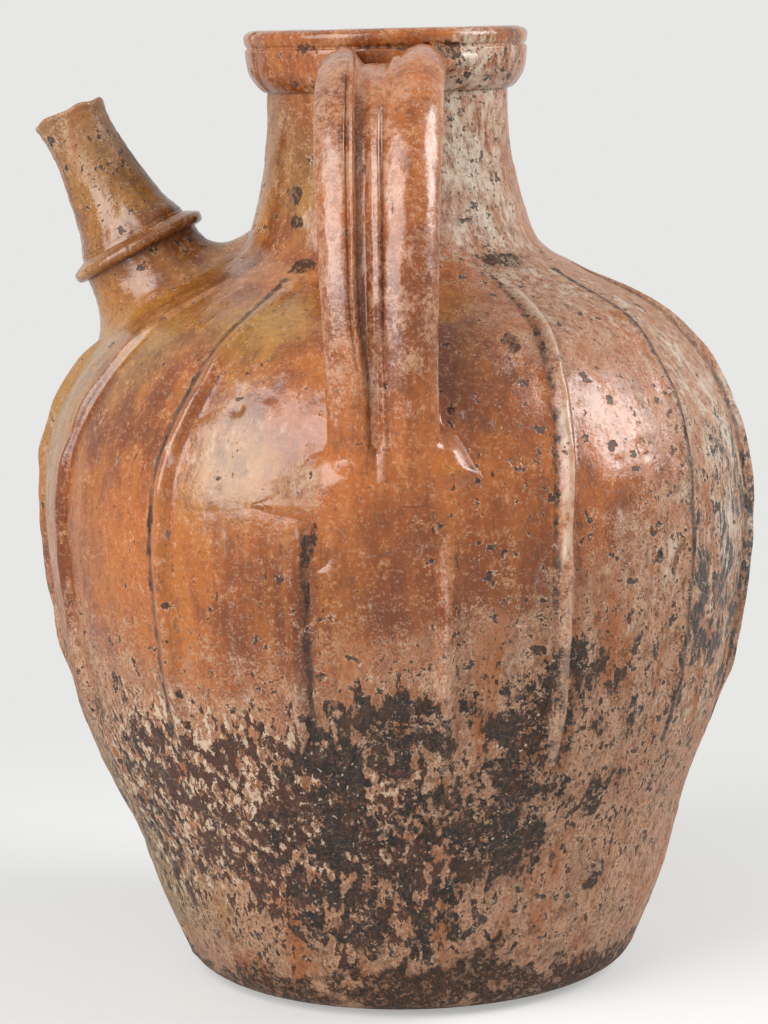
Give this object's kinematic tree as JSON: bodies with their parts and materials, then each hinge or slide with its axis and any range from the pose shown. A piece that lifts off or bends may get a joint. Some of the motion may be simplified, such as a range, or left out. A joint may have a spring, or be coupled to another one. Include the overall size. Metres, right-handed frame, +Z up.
{
  "type": "terracotta pitcher",
  "caption": "Large ribbed terracotta pitcher with worn orange-brown glaze, a collared side spout, a rolled rim and a wide double-roll strap handle, for carrying and pouring water or oil.",
  "frame": {"origin": "middle of the flat underside of the foot", "axes": "+Z up along the vessel's axis, -Y towards the handle, the spout leans out over -X"},
  "size_m": [0.3163, 0.3178, 0.42],
  "materials": {
    "glaze": "glossy orange-brown lead glaze over red clay, pitted and worn at the edges",
    "worn_glaze": "worn glaze with black scorched patches and bare clay showing through",
    "bare_clay": "matte fired clay, darkened at the edge"
  },
  "bodies": {
    "root": {"base_slab": "bare_clay", "lower_body": "worn_glaze", "upper_body": "glaze", "neck": "glaze", "rim_band": "glaze", "spout_root": "glaze", "spout_collar": "glaze", "spout_tube": "glaze", "handle_left_roll": "glaze", "handle_right_roll": "glaze", "handle_web": "glaze", "handle_top_wing": "glaze", "handle_foot_pad": "glaze", "handle_foot_left_wing": "glaze", "handle_foot_right_wing": "glaze", "rib_01": "glaze", "rib_02": "glaze", "rib_03": "glaze", "rib_04": "glaze", "rib_05": "glaze", "rib_06": "glaze", "rib_07": "glaze", "rib_08": "glaze", "rib_09": "glaze", "rib_10": "glaze", "rib_11": "glaze", "rib_12": "glaze", "rib_13": "glaze", "rib_14": "glaze"}
  },
  "joints": []
}
